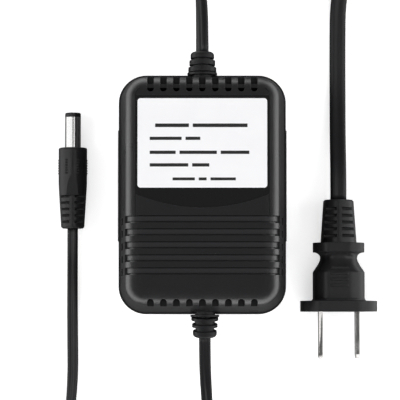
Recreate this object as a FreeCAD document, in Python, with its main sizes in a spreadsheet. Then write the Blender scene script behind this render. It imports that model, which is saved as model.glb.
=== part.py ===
import FreeCAD, Part

import math
import os
from types import SimpleNamespace

import Sketcher
from FreeCAD import Placement, Rotation, Vector

# A desk-top mains transformer: a ribbed two-part case with a flat mains cord at one end and a
# twin-lead low-voltage cord at the other. Origin at the middle of the case's underside,
# +Y towards the mains cord, +Z up through the label. All sizes in millimetres and degrees.

SIZES = {
    # Case
    "case_width": 57.25,
    "case_length": 81.8,
    "case_height": 46.0,
    "seam_height": 19.0,
    "seam_ledge": 0.5,
    "top_corner_radius": 0.16,
    "draft_angle": 6.0,
    "top_edge_radius": 6.0,
    "bottom_edge_radius": 4.0,
    "wall_thickness": 2.2,
    "lip_height": 1.4,
    "lip_thickness": 0.9,
    "fit_clearance": 0.15,
    "root_depth": 0.2,
    # Raised grip on each long side, along the seam
    "grip_proud": 0.25,
    "grip_length": 38.0,
    "grip_height": 11.0,
    "grip_middle": 3.0,
    # Ventilation slots at the two ends
    "vent_pitch": 4.32,
    "vent_width": 2.2,
    "vent_end_flat": 0.2,
    "vent_side_margin": 11.0,
    "mains_vent_reach": 8.05,
    "mains_vent_depth": 16.0,
    "output_vent_reach": 4.84,
    "output_vent_depth": 8.5,
    "vent_rib_thickness": 1.4,
    "vent_rib_inset": 5.4,
    "vent_rib_drop": 1.2,
    "vent_rib_height": 7.8,
    "vent_rib_overhang": 1.12,
    # Bands across the top, each with a slit along one edge and a slot through the side
    "band_count": 5,
    "band_width": 2.42,
    "band_depth": 0.8,
    "band_gap": 2.58,
    "slit_width": 0.5,
    "slit_depth": 0.7,
    "side_slot_rise": 6.0,
    "side_slot_height": 6.5,
    # Label and its recess
    "label_side_margin": 1.475,
    "label_back_margin": 1.05,
    "label_front_margin": 1.75,
    "label_thickness": 0.12,
    "label_corner": 1.0,
    "recess_side_margin": 5.6,
    "recess_vent_gap": 1.15,
    "recess_side": -0.9,
    "recess_sag": 4.9,
    "recess_depth": 0.5,
    # Screw bosses and screws
    "boss_side_inset": 8.8,
    "boss_end_inset": 10.5,
    "boss_radius": 2.9,
    "foot_boss_radius": 4.2,
    "screw_radius": 1.4,
    "screw_head_radius": 2.6,
    "screw_head_height": 2.0,
    "screw_length": 17.0,
    "screw_sink": 10.0,
    "screw_clearance": 0.2,
    "cross_length": 3.4,
    "cross_width": 0.8,
    "cross_depth": 1.1,
    # Core of stamped sheets and the posts that hold it
    "core_clearance": 0.45,
    "core_end_room": 20.9,
    "post_size": 5.0,
    "post_side_inset": 4.8,
    "post_end_inset": 3.0,
    # Bobbin and windings
    "bobbin_wall": 1.1,
    "bobbin_clearance": 0.15,
    "flange_thickness": 1.0,
    "flange_overhang": 0.6,
    "flange_clearance": 0.25,
    "coil_headroom": 3.1,
    "winding_depth": 5.5,
    "winding_room": 0.9,
    "winding_corner": 3.0,
    "tape_thickness": 0.35,
    "rail_width": 22.0,
    "rail_depth": 3.2,
    "rail_height": 3.6,
    "pin_radius": 0.45,
    "pin_length": 6.0,
    "pin_spacing": 14.0,
    "fuse_radius": 1.2,
    "fuse_length": 9.0,
    "fuse_lead_radius": 0.3,
    "fuse_lead_length": 2.5,
    # Strain reliefs at the case
    "relief_flange_radius": 5.2,
    "relief_flange_thickness": 1.5,
    "relief_neck_radius": 3.5,
    "relief_collar": 0.9,
    "relief_collar_proud": 0.3,
    "relief_rings": 3,
    "relief_groove_depth": 0.9,
    "relief_ring_edge": 0.2,
    "relief_core_inset": 1.05,
    "relief_buried": 0.45,
    "relief_tip_round": 1.2,
    "mains_relief_root": 4.8,
    "mains_relief_tip": 4.05,
    "mains_relief_gap": 0.6,
    "mains_droop": 3.5,
    "mains_relief_reach": 8.1,
    "output_relief_root": 4.6,
    "output_relief_tip": 4.1,
    "output_relief_gap": 1.2,
    "output_droop": 10.0,
    "output_relief_reach": 7.86,
    "output_exit": 0.85,
    # Cords
    "mains_cord_width": 5.6,
    "mains_cord_thickness": 2.8,
    "output_cord_width": 4.0,
    "output_cord_thickness": 2.1,
    "lead_radius": 0.65,
    "lead_spacing": 3.0,
    "lead_wall_run": 7.5,
    "lead_pin_run": 7.0,
    "mains_coil_radius": 28.8,
    "mains_coil_across": 23.45,
    "mains_coil_along": 107.0,
    "output_coil_radius": 22.0,
    "output_coil_across": -22.0,
    "output_coil_along": -99.5,
    "coil_columns": 4,
    "coil_layers": 2,
    "coil_slack": 0.1,
    # Mains plug
    "plug_gap": 5.255,
    "plug_face": -39.86,
    "plug_flange_side": 4.35,
    "plug_flange_edge": 1.2,
    "plug_flange_thickness": 3.7,
    "plug_flange_flat": 1.2,
    "plug_side_wall": 0.75,
    "plug_cover": 2.1,
    "plug_body_flat": 1.8,
    "plug_block_length": 9.8,
    "plug_neck_width": 12.8,
    "plug_neck_dip": 1.0,
    "plug_neck_flat": 0.8,
    "plug_neck_reach": 5.2,
    "plug_flare": 1.8,
    "plug_collar_width": 17.8,
    "plug_collar_step": 0.4,
    "plug_collar_length": 3.25,
    "plug_fillet": 1.0,
    "plug_relief_length": 14.9,
    "plug_relief_root": 6.25,
    "plug_relief_tip": 5.25,
    "plug_relief_edge": 0.5,
    "plug_groove_count": 5,
    "plug_groove_inset": 1.85,
    "plug_groove_pitch": 2.34,
    "plug_groove_width": 1.0,
    "plug_groove_depth": 2.3,
    "groove_web": 1.8,
    "ridge_count": 4,
    "ridge_first": 9.05,
    "ridge_pitch": 2.0,
    "ridge_width": 0.8,
    "ridge_length": 6.0,
    "ridge_proud": 0.2,
    "blade_spacing": 12.7,
    "blade_thickness": 1.5,
    "blade_width": 6.35,
    "blade_reach": 16.25,
    "blade_root": 7.5,
    "blade_chamfer": 1.6,
    "blade_edge": 0.45,
    "blade_hole_radius": 1.6,
    "blade_hole_place": 11.7,
    "insert_side_margin": 1.1,
    "insert_edge_margin": 1.025,
    "insert_flat": 1.6,
    "insert_back": 1.0,
    "plug_wire_radius": 0.9,
    "plug_wire_spacing": 2.8,
    "plug_wire_run": 3.0,
    # Low-voltage barrel plug
    "barrel_gap": 11.445,
    "barrel_handle_start": -10.98,
    "handle_length": 28.04,
    "handle_radius": 4.95,
    "handle_waist_radius": 4.7,
    "handle_end_radius": 4.05,
    "handle_waist_place": 11.2,
    "handle_shoulder": 4.5,
    "handle_edge": 0.5,
    "handle_round": 0.6,
    "handle_groove_count": 5,
    "handle_groove_first": 1.8,
    "handle_groove_pitch": 2.2,
    "handle_groove_width": 0.8,
    "handle_groove_depth": 1.9,
    "facet_length": 7.2,
    "facet_depth": 0.75,
    "rib_count": 6,
    "rib_first": 19.1,
    "rib_pitch": 0.9,
    "rib_length": 0.45,
    "rib_width": 1.2,
    "rib_angle": 22.0,
    "rib_proud": 0.15,
    "barrel_radius": 2.75,
    "barrel_wall": 0.4,
    "barrel_length": 10.7,
    "barrel_root": 6.0,
    "barrel_root_taper": 0.15,
    "tip_length": 1.5,
    "tip_edge": 0.3,
    "contact_wall": 0.5,
    "contact_bore": 1.05,
    "contact_recess": 0.6,
    "contact_depth": 9.0,
    "contact_tail": 1.0,
    "barrel_wire_radius": 0.6,
    "barrel_wire_spacing": 2.2,
    "barrel_wire_cord_run": 7.0,
    "barrel_wire_tip_run": 5.0,
    "barrel_wire_tip_place": 0.775,
}

BEYOND = 1.0  # how far a cut runs past the face that it opens

os.makedirs("parts", exist_ok=True)
doc = FreeCAD.newDocument("desk_transformer")
sheet = doc.addObject("Spreadsheet::Sheet", "Sheet")
for row, (alias, value) in enumerate(SIZES.items(), 1):
    sheet.set(f"A{row}", alias)
    sheet.set(f"B{row}", str(value))
    sheet.setAlias(f"B{row}", alias)
doc.recompute()


# Sizes and the expressions that bind them

class Size:
    """A size of the sheet, or one worked out from others, with the expression that says how."""

    def __init__(self, number, text):
        self.number = number
        self.text = text

    def __add__(self, other):
        return combine(self, other, "+", lambda a, b: a + b)

    def __radd__(self, other):
        return combine(other, self, "+", lambda a, b: a + b)

    def __sub__(self, other):
        return combine(self, other, "-", lambda a, b: a - b)

    def __rsub__(self, other):
        return combine(other, self, "-", lambda a, b: a - b)

    def __mul__(self, other):
        return combine(self, other, "*", lambda a, b: a * b)

    def __rmul__(self, other):
        return combine(other, self, "*", lambda a, b: a * b)

    def __truediv__(self, other):
        return combine(self, other, "/", lambda a, b: a / b)

    def __neg__(self):
        return combine(0, self, "-", lambda a, b: a - b)


def as_size(value):
    if isinstance(value, Size):
        return value
    return Size(float(value), f"({float(value):.6f})")


def combine(first, second, sign, work):
    first, second = as_size(first), as_size(second)
    return Size(work(first.number, second.number), f"({first.text} {sign} {second.text})")


def tangent(angle):
    return Size(math.tan(math.radians(angle.number)), f"tan({angle.text})")


def cosine(angle):
    return Size(math.cos(math.radians(angle.number)), f"cos({angle.text})")


def whole(value):
    return Size(math.floor(value.number), f"floor({value.text})")


def number(value):
    return as_size(value).number


def bind(thing, **rules):
    for name, rule in rules.items():
        thing.setExpression(name.replace("__", "."), as_size(rule).text)


def put(thing, x=0, y=0, z=0):
    bind(thing, Placement__Base__x=x, Placement__Base__y=y, Placement__Base__z=z)


s = SimpleNamespace(**{alias: Size(float(sheet.get(alias)), f"Sheet.{alias}") for alias in SIZES})


# Sizes that follow from the sheet's: the case and its top

lean = tangent(s.draft_angle)
s.corner_radius = (s.top_corner_radius + s.top_edge_radius + s.seam_ledge
                   + (s.case_height - s.seam_height) * lean)
s.floor = s.wall_thickness - s.root_depth
s.ceiling = s.case_height - s.floor
s.vent_count = whole((s.case_width - 2 * s.vent_side_margin) / s.vent_pitch) + 1
s.vent_row = s.vent_pitch * (s.vent_count - 1)
s.recess_width = s.case_width - 2 * s.recess_side_margin
s.recess_back = s.case_length / 2 - s.mains_vent_reach - s.recess_vent_gap
s.band_first = s.recess_side - s.recess_sag - s.band_gap

# The transformer, as large as the case lets it be

s.winding_build = s.bobbin_clearance + s.bobbin_wall + s.winding_depth + s.tape_thickness
s.core_low = s.wall_thickness + s.coil_headroom + s.flange_overhang + s.winding_build
s.core_top = s.case_height - s.core_low
s.core_stack = s.core_top - s.core_low
s.core_middle = s.case_height / 2
s.core_width = s.case_width - 2 * (s.seam_ledge + s.wall_thickness + s.core_clearance
                                   + (s.core_top - s.seam_height) * lean)
s.core_limb = (s.core_width / 2 - s.winding_room - s.winding_build) / 2
s.core_length = s.case_length - 2 * s.core_end_room
s.window_length = s.core_length - 2 * s.core_limb
s.pin_height = s.core_top + s.bobbin_clearance + s.rail_height / 2

# The mains plug, built up around its blades

s.insert_width = s.blade_spacing + s.blade_thickness + 2 * s.insert_side_margin
s.insert_height = s.blade_width + 2 * s.insert_edge_margin
s.insert_depth = s.blade_root + s.insert_back
s.plug_body_width = s.insert_width + 2 * s.plug_side_wall
s.plug_body_height = s.insert_height + 2 * s.plug_cover
s.plug_flange_width = s.plug_body_width + 2 * s.plug_flange_side
s.plug_flange_height = s.plug_body_height + 2 * s.plug_flange_edge
s.plug_neck_height = s.plug_body_height - 2 * s.plug_neck_dip
s.plug_shoulder_place = s.plug_flange_thickness + s.plug_block_length
s.plug_neck_place = s.plug_shoulder_place + s.plug_neck_reach
s.plug_collar_start = s.plug_neck_place + s.plug_flare
s.plug_collar_end = s.plug_collar_start + s.plug_collar_length
s.plug_relief_end = s.plug_collar_end + s.plug_relief_length
s.plug_groove_first = s.plug_collar_end + s.plug_groove_inset
s.plug_across = s.case_width / 2 + s.plug_gap + s.plug_flange_width / 2

# The barrel plug

s.barrel_bore = s.barrel_radius - s.barrel_wall
s.contact_radius = s.contact_bore + s.contact_wall
s.barrel_across = -(s.case_width / 2 + s.barrel_gap + s.handle_radius)


# Sketches

def sketch_in(body, name, plane, shift=(0, 0, 0), turn=0):
    """A sketch on one of the body's own origin planes, shifted and turned in its own axes."""
    sketch = body.newObject("Sketcher::SketchObject", name)
    origin_plane = [item for item in body.Origin.OriginFeatures if item.Role == plane][0]
    sketch.AttachmentSupport = [(origin_plane, "")]
    sketch.MapMode = "FlatFace"
    offset = Vector(*[number(value) for value in shift])
    sketch.AttachmentOffset = Placement(offset, Rotation(Vector(0, 0, 1), number(turn)))
    for axis, rule in zip("xyz", shift):
        sketch.setExpression(f"AttachmentOffset.Base.{axis}", as_size(rule).text)
    if number(turn):
        sketch.setExpression("AttachmentOffset.Rotation.Angle", as_size(turn).text)
    return sketch


def arc_between(start, end, radius):
    """The short arc from start to end, turning left for a positive radius."""
    middle = (start + end) * 0.5
    half = (end - start) * 0.5
    reach = math.sqrt(max(radius * radius - half.Length ** 2, 0.0))
    side = Vector(-half.y, half.x, 0).normalize() * math.copysign(reach, radius)
    centre = middle + side
    first, last = (start, end) if radius > 0 else (end, start)
    angles = [math.atan2(p.y - centre.y, p.x - centre.x) for p in (first, last)]
    if angles[1] < angles[0]:
        angles[1] += 2 * math.pi
    circle = Part.Circle(centre, Vector(0, 0, 1), abs(radius))
    return Part.ArcOfCircle(circle, *angles)


def draw(sketch, path):
    """Close a path of corners (x, y); a third value is the radius of the arc that leads there."""
    corners = [Vector(number(corner[0]), number(corner[1]), 0) for corner in path]
    first = sketch.GeometryCount
    ends = []
    for index, corner in enumerate(path):
        start, end = corners[index - 1], corners[index]
        if len(corner) == 3:
            radius = number(corner[2])
            shape = arc_between(start, end, radius)
            ends.append((1, 2) if radius > 0 else (2, 1))
        else:
            shape = Part.LineSegment(start, end)
            ends.append((1, 2))
        sketch.addGeometry(shape, False)
    for index, corner in enumerate(path):
        edge, following = first + index, first + (index + 1) % len(path)
        start_of_next = ends[(index + 1) % len(path)][0]
        sketch.addConstraint(
            Sketcher.Constraint("Coincident", edge, ends[index][1], following, start_of_next))
        for kind, rule in (("DistanceX", corner[0]), ("DistanceY", corner[1])):
            fix(sketch, Sketcher.Constraint(kind, edge, ends[index][1], number(rule)), rule)
        if len(corner) == 3:
            radius = corner[2] if number(corner[2]) > 0 else -corner[2]
            fix(sketch, Sketcher.Constraint("Radius", edge, number(radius)), radius)


def fix(sketch, constraint, rule):
    index = sketch.addConstraint(constraint)
    if isinstance(rule, Size):
        sketch.setExpression(f"Constraints[{index}]", rule.text)


def rectangle(width, height, x=0, y=0):
    left, right = x - width / 2, x + width / 2
    low, high = y - height / 2, y + height / 2
    return [(left, low), (right, low), (right, high), (left, high)]


def rounded_rectangle(width, height, radius, x=0, y=0):
    left, right = x - width / 2, x + width / 2
    low, high = y - height / 2, y + height / 2
    return [
        (left + radius, low, radius), (right - radius, low), (right, low + radius, radius),
        (right, high - radius), (right - radius, high, radius), (left + radius, high),
        (left, high - radius, radius), (left, low + radius),
    ]


# Features

def new_body(name):
    body = doc.addObject("PartDesign::Body", name)
    body.Label = name
    return body


def add_feature(body, kind, sketch, **rules):
    feature = body.newObject(f"PartDesign::{kind}", f"{kind}_{sketch.Name}")
    feature.Profile = sketch
    bind(feature, **rules)
    return feature


def settle(body, grows, before):
    """Recompute, and stop if the last feature did not change the solid the way it should."""
    doc.recompute()
    after = body.Shape.Volume
    if grows != (after > before) or abs(after - before) < 1e-6:
        raise ValueError(f"{body.Label}: {body.Tip.Label} took {before:.3f} to {after:.3f}")


def volume(body):
    doc.recompute()
    return body.Shape.Volume if body.Tip else 0.0


def pad(body, sketch, length, taper=None, backwards=False, both_ways=False):
    before = volume(body) if body.Tip else 0.0
    feature = add_feature(body, "Pad", sketch, Length=length)
    feature.Reversed = backwards
    feature.SideType = "Symmetric" if both_ways else "One side"
    if taper is not None:
        bind(feature, TaperAngle=taper)
    settle(body, True, before)
    return feature


def pocket(body, sketch, length=None, taper=None, backwards=False, both_ways=False):
    before = volume(body)
    feature = add_feature(body, "Pocket", sketch)
    feature.Reversed = backwards
    feature.SideType = "Symmetric" if both_ways else "One side"
    if length is None:
        feature.Type = "ThroughAll"
    else:
        bind(feature, Length=length)
    if taper is not None:
        bind(feature, TaperAngle=taper)
    settle(body, False, before)
    return feature


def revolve(body, sketch, axis="H_Axis"):
    before = volume(body) if body.Tip else 0.0
    feature = add_feature(body, "Revolution", sketch)
    feature.ReferenceAxis = (sketch, [axis])
    feature.Angle = 360
    settle(body, True, before)
    return feature


def pattern(body, feature, axis, pitch, count, backwards=False):
    before = volume(body)
    grows = feature.isDerivedFrom("PartDesign::FeatureAdditive") or "Pad" in feature.Name
    row_of = body.newObject("PartDesign::LinearPattern", f"Row_{feature.Name}")
    row_of.Originals = [feature]
    row_of.Direction = (feature.Profile[0], [axis])
    row_of.Reversed = backwards
    bind(row_of, Length=pitch * (count - 1), Occurrences=count)
    body.Tip = row_of
    settle(body, grows, before)
    return row_of


def round_edges(body, radius, chosen, kind="Fillet"):
    before = volume(body)
    base = body.Tip
    names = [f"Edge{place}" for place, edge in enumerate(base.Shape.Edges, 1) if chosen(edge)]
    feature = body.newObject(f"PartDesign::{kind}", f"{kind}_{base.Name}")
    feature.Base = (base, names)
    bind(feature, **{"Radius" if kind == "Fillet" else "Size": radius})
    doc.recompute()
    if abs(body.Shape.Volume - before) < 1e-6:
        raise ValueError(f"{body.Label}: {kind} on {len(names)} edges changed nothing")


def level(axis, place):
    """A test for edges that lie wholly at one place along an axis."""
    def chosen(edge):
        points = [vertex.Point for vertex in edge.Vertexes]
        return all(abs(getattr(point, axis) - number(place)) < 1e-3 for point in points)
    return chosen


def upright(edge):
    first, last = edge.Vertexes[0], edge.Vertexes[-1]
    return abs(first.X - last.X) < 1e-3 and abs(first.Y - last.Y) < 1e-3


def within(edge, reach_x, reach_z):
    """Whether an edge stays within these distances of the middle."""
    span = edge.BoundBox
    return (max(abs(span.XMin), abs(span.XMax)) < number(reach_x) + 1e-2
            and max(abs(span.ZMin), abs(span.ZMax)) < number(reach_z) + 1e-2)


def cut(name, base, tools):
    """A piece with the room for others cut out of it, so that they meet face to face."""
    result = doc.addObject("Part::Cut", name)
    result.Label = name
    result.Base = base
    if len(tools) == 1:
        result.Tool = tools[0]
    else:
        group = doc.addObject("Part::Compound", f"{name}_tools")
        group.Links = tools
        result.Tool = group
    return result


def box(name, length, width, height, x, y, z):
    """A block whose x, y and z give the middle of its lowest face."""
    block = doc.addObject("Part::Box", name)
    block.Label = name
    bind(block, Length=length, Width=width, Height=height)
    put(block, x - length / 2, y - width / 2, z)
    return block


def rod(name, radius, length, x, y, z, along=(0, 0, 1)):
    cylinder = doc.addObject("Part::Cylinder", name)
    cylinder.Label = name
    bind(cylinder, Radius=radius, Height=length)
    cylinder.Placement = Placement(Vector(), Rotation(Vector(0, 0, 1), Vector(*along)))
    put(cylinder, x, y, z)
    return cylinder


def turned(name, path):
    """A piece turned about its own Y axis from a path of (place, radius) corners."""
    body = new_body(name)
    sketch = sketch_in(body, f"{name}_profile", "YZ_Plane")
    draw(sketch, path)
    revolve(body, sketch)
    return body


# Case

def case_outline(inset):
    return rounded_rectangle(s.case_width - 2 * inset, s.case_length - 2 * inset,
                             s.corner_radius - inset)


def four_corners(width, length):
    return [(x * width / 2, y * length / 2) for x in (-1, 1) for y in (-1, 1)]


def boss_centres():
    return four_corners(s.case_width - 2 * s.boss_side_inset, s.case_length - 2 * s.boss_end_inset)


def post_centres():
    return four_corners(s.core_width - 2 * s.post_side_inset, s.core_length - 2 * s.post_end_inset)


def circles(sketch, centres, radius):
    for x, y in centres:
        quarter = [(x + radius, y), (x, y + radius), (x - radius, y), (x, y - radius)]
        draw(sketch, [(*point, radius) for point in quarter])


def shell(name, ledge, edge_radius, height, upwards):
    """Half of the case: a tapered block from the seam, with its far edges rounded, hollowed."""
    body = new_body(name)
    way = 1 if upwards else -1
    outside = sketch_in(body, f"{name}_outline", "XY_Plane", (0, 0, s.seam_height))
    draw(outside, case_outline(ledge))
    pad(body, outside, height, taper=-s.draft_angle, backwards=not upwards)
    round_edges(body, edge_radius, level("z", s.seam_height + way * height))
    inside = sketch_in(body, f"{name}_cavity", "XY_Plane", (0, 0, s.seam_height))
    draw(inside, case_outline(s.seam_ledge + s.wall_thickness))
    depth = height - s.wall_thickness
    pocket(body, inside, depth, taper=-s.draft_angle, backwards=upwards)
    round_edges(body, edge_radius - s.wall_thickness, level("z", s.seam_height + way * depth))
    return body


def cut_across(body, name, start, width, depth):
    """A row of cuts across the top that follow its rounded edges at a constant depth."""
    edge_z = s.case_height - s.top_edge_radius
    wall_x = s.case_width / 2 - s.seam_ledge - (edge_z - s.seam_height) * lean
    centre_x = wall_x - s.top_edge_radius / cosine(s.draft_angle)
    radius = s.top_edge_radius - depth
    clear_x, clear_z = s.case_width / 2 + BEYOND, s.case_height + BEYOND
    section = sketch_in(body, name, "XZ_Plane", (0, 0, -start))
    draw(section, [
        (centre_x + radius, edge_z), (centre_x, edge_z + radius, radius),
        (-centre_x, edge_z + radius), (-centre_x - radius, edge_z, radius),
        (-clear_x, edge_z), (-clear_x, clear_z), (clear_x, clear_z), (clear_x, edge_z),
    ])
    first = pocket(body, section, width, backwards=True)
    pattern(body, first, "N_Axis", s.vent_pitch, s.band_count)


def cut_bands(body):
    """Shallow bands, each with a deeper slit along its edge towards the output end."""
    cut_across(body, "bands", s.band_first, s.band_width, s.band_depth)
    slit_first = s.band_first - s.band_width + s.slit_width
    cut_across(body, "slits", slit_first, s.slit_width, s.band_depth + s.slit_depth)


def cut_side_slots(body):
    """A slot through both side walls below each band."""
    across = s.band_first - s.band_width / 2
    up = s.seam_height + s.side_slot_rise + s.side_slot_height / 2
    slots = sketch_in(body, "side_slot", "YZ_Plane")
    draw(slots, rectangle(s.band_width, s.side_slot_height, across, up))
    first = pocket(body, slots, both_ways=True)
    pattern(body, first, "H_Axis", s.vent_pitch, s.band_count, backwards=True)


def cut_end_vents(body, name, reach, depth, way):
    """A row of slots that run from the top down one end wall."""
    length = reach + BEYOND
    middle = way * (s.case_length / 2 - reach + length / 2)
    slot = sketch_in(body, name, "XY_Plane", (0, 0, s.case_height + BEYOND))
    corner = (s.vent_width - s.vent_end_flat) / 2
    draw(slot, rounded_rectangle(s.vent_width, length, corner, -s.vent_row / 2, middle))
    first = pocket(body, slot, depth + BEYOND)
    pattern(body, first, "H_Axis", s.vent_pitch, s.vent_count)


def cut_label_recess(body):
    """A shallow recess with a bowed front edge, between the mains vents and the bands."""
    half = s.recess_width / 2
    radius = (half * half + s.recess_sag * s.recess_sag) / (2 * s.recess_sag)
    recess = sketch_in(body, "label_recess", "XY_Plane", (0, 0, s.case_height))
    draw(recess, [(-half, s.recess_side), (half, s.recess_side, radius),
                  (half, s.recess_back), (-half, s.recess_back)])
    pocket(body, recess, s.recess_depth)


def cut_relief_notches(body):
    """The round ways through both end walls for the necks of the strain reliefs."""
    radius = s.relief_neck_radius + s.fit_clearance
    for name, middle, backwards in (("mains_notch", 0, False), ("output_notch", s.output_exit, True)):
        notch = sketch_in(body, f"{body.Name}_{name}", "XZ_Plane")
        circles(notch, [(middle, s.seam_height)], radius)
        pocket(body, notch, s.case_length, backwards=backwards)


def add_vent_rib(body):
    """The cross rib that shows through the mains vents."""
    rib = sketch_in(body, "vent_rib", "XY_Plane",
                    (0, 0, s.case_height - s.vent_rib_drop - s.vent_rib_height))
    width = s.vent_row + s.vent_width + 2 * s.vent_rib_overhang
    middle = s.case_length / 2 - s.vent_rib_inset - s.vent_rib_thickness / 2
    draw(rib, rectangle(width, s.vent_rib_thickness, 0, middle))
    pad(body, rib, s.vent_rib_height)


def add_posts(body, low, high):
    """Four posts that hold the corners of the core."""
    posts = sketch_in(body, f"{body.Name}_posts", "XY_Plane", (0, 0, low))
    for x, y in post_centres():
        draw(posts, rectangle(s.post_size, s.post_size, x, y))
    pad(body, posts, high - low)


def add_bosses(body, radius, low, high):
    """Four round bosses for the screws."""
    bosses = sketch_in(body, f"{body.Name}_bosses", "XY_Plane", (0, 0, low))
    circles(bosses, boss_centres(), radius)
    pad(body, bosses, high - low)


def drill_bosses(body, name, radius, low, depth):
    holes = sketch_in(body, name, "XY_Plane", (0, 0, low))
    circles(holes, boss_centres(), radius)
    pocket(body, holes, depth, backwards=True)


def make_top_case():
    height = s.case_height - s.seam_height
    body = shell("top_case", s.seam_ledge, s.top_edge_radius, height, True)
    cut_label_recess(body)
    cut_bands(body)
    cut_end_vents(body, "mains_vent", s.mains_vent_reach, s.mains_vent_depth, 1)
    cut_end_vents(body, "output_vent", s.output_vent_reach, s.output_vent_depth, -1)
    cut_side_slots(body)
    add_vent_rib(body)
    add_posts(body, s.core_top, s.ceiling)
    add_bosses(body, s.boss_radius, s.seam_height, s.ceiling)
    thread = s.screw_sink + s.screw_length - s.seam_height
    drill_bosses(body, "top_pilots", s.screw_radius, s.seam_height, thread + BEYOND)

    rebate = sketch_in(body, "top_rebate", "XY_Plane", (0, 0, s.seam_height))
    draw(rebate, case_outline(s.seam_ledge + s.wall_thickness - s.lip_thickness - s.fit_clearance))
    draw(rebate, case_outline(s.seam_ledge + s.wall_thickness))
    pocket(body, rebate, s.lip_height + s.fit_clearance, backwards=True)
    cut_relief_notches(body)
    return body


def add_side_grips(body):
    """A raised grip on each long side, from the seam down."""
    grips = sketch_in(body, "side_grips", "XZ_Plane", (0, 0, -s.grip_middle))
    slant = s.grip_height * lean
    low = s.seam_height - s.grip_height
    for side in (-1, 1):
        outer = s.case_width / 2 + s.grip_proud
        inner = s.case_width / 2 - s.wall_thickness / 2
        draw(grips, [(side * inner, s.seam_height), (side * outer, s.seam_height),
                     (side * (outer - slant), low), (side * (inner - slant), low)])
    pad(body, grips, s.grip_length, both_ways=True)


def make_bottom_case():
    body = shell("bottom_case", 0, s.bottom_edge_radius, s.seam_height, False)
    lip = sketch_in(body, "bottom_lip", "XY_Plane", (0, 0, s.seam_height))
    draw(lip, case_outline(s.seam_ledge + s.wall_thickness - s.lip_thickness))
    draw(lip, case_outline(s.seam_ledge + s.wall_thickness))
    pad(body, lip, s.lip_height)
    add_side_grips(body)
    add_bosses(body, s.foot_boss_radius, s.floor, s.seam_height)
    drill_bosses(body, "bottom_sinks", s.screw_head_radius + s.screw_clearance, 0, s.screw_sink)
    drill_bosses(body, "bottom_holes", s.screw_radius + s.screw_clearance, 0, s.seam_height + BEYOND)
    add_posts(body, s.floor, s.core_low)
    cut_relief_notches(body)
    return body


def make_label():
    body = new_body("rating_label")
    face = s.case_height - s.recess_depth
    width = s.recess_width - 2 * s.label_side_margin
    back, front = s.recess_back - s.label_back_margin, s.recess_side + s.label_front_margin
    sketch = sketch_in(body, "label_outline", "XY_Plane", (0, 0, face))
    draw(sketch, rounded_rectangle(width, back - front, s.label_corner, 0, (back + front) / 2))
    pad(body, sketch, s.label_thickness)
    return body


def make_screws():
    """Four cross-headed screws, driven from below into the upper bosses."""
    screws = []
    for place, (x, y) in enumerate(boss_centres(), 1):
        seat = s.screw_sink - s.screw_head_height
        head = rod(f"screw_head_{place}", s.screw_head_radius, s.screw_head_height, x, y, seat)
        shank = rod(f"screw_shank_{place}", s.screw_radius, s.screw_length, x, y, s.screw_sink)
        blank = doc.addObject("Part::Fuse", f"screw_blank_{place}")
        blank.Base, blank.Tool = head, shank
        slots = [
            box(f"cross_a_{place}", s.cross_length, s.cross_width, s.cross_depth, x, y, seat),
            box(f"cross_b_{place}", s.cross_width, s.cross_length, s.cross_depth, x, y, seat),
        ]
        screws.append(cut(f"screw_{place}", blank, slots))
    group = doc.addObject("Part::Compound", "case_screws")
    group.Label = "case_screws"
    group.Links = screws
    return group


# Transformer

def make_core_e():
    """The E sheets: yoke towards the mains end, three limbs towards the output end."""
    body = new_body("core_e_stack")
    half = s.core_width / 2
    back, front = s.core_length / 2, -s.core_length / 2 + s.core_limb
    yoke = back - s.core_limb
    limb, inner = half - s.core_limb, s.core_limb
    sketch = sketch_in(body, "e_outline", "XY_Plane", (0, 0, s.core_low))
    draw(sketch, [
        (-half, back), (-half, front), (-limb, front), (-limb, yoke), (-inner, yoke),
        (-inner, front), (inner, front), (inner, yoke), (limb, yoke), (limb, front),
        (half, front), (half, back),
    ])
    pad(body, sketch, s.core_stack)
    return body


def make_core_i():
    return box("core_i_stack", s.core_width, s.core_limb, s.core_stack,
               0, -s.core_length / 2 + s.core_limb / 2, s.core_low)


def tube_size():
    """Outside width and height of the bobbin's tube around the middle limb."""
    grow = 2 * (s.bobbin_wall + s.bobbin_clearance)
    return 2 * s.core_limb + grow, s.core_stack + grow


def wound_size(thickness):
    width, height = tube_size()
    return width + 2 * thickness, height + 2 * thickness


def flange_size():
    _, height = wound_size(s.winding_depth + s.tape_thickness)
    width = s.core_width - 2 * (s.core_limb + s.flange_clearance)
    return width, height + 2 * s.flange_overhang


def bobbin_length():
    return s.window_length - 2 * s.bobbin_clearance


def make_bobbin():
    body = new_body("bobbin")
    width, height = tube_size()
    tube = sketch_in(body, "bobbin_tube", "XZ_Plane")
    draw(tube, rectangle(width, height, 0, s.core_middle))
    pad(body, tube, bobbin_length(), both_ways=True)

    flange = sketch_in(body, "bobbin_flange", "XZ_Plane", (0, 0, -bobbin_length() / 2))
    draw(flange, rectangle(*flange_size(), 0, s.core_middle))
    first = pad(body, flange, s.flange_thickness)
    pattern(body, first, "N_Axis", (bobbin_length() - s.flange_thickness) / 2, 3)

    root = (bobbin_length() - s.bobbin_wall) / 2
    for name, way in (("mains_rail", -1), ("output_rail", 1)):
        rail = sketch_in(body, name, "XZ_Plane", (0, 0, way * root))
        draw(rail, rectangle(s.rail_width, s.rail_height, 0, s.pin_height))
        pad(body, rail, s.rail_depth, backwards=way < 0)

    window = sketch_in(body, "bobbin_window", "XZ_Plane")
    grow = 2 * s.bobbin_clearance
    draw(window, rectangle(2 * s.core_limb + grow, s.core_stack + grow, 0, s.core_middle))
    pocket(body, window, both_ways=True)
    return body


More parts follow.
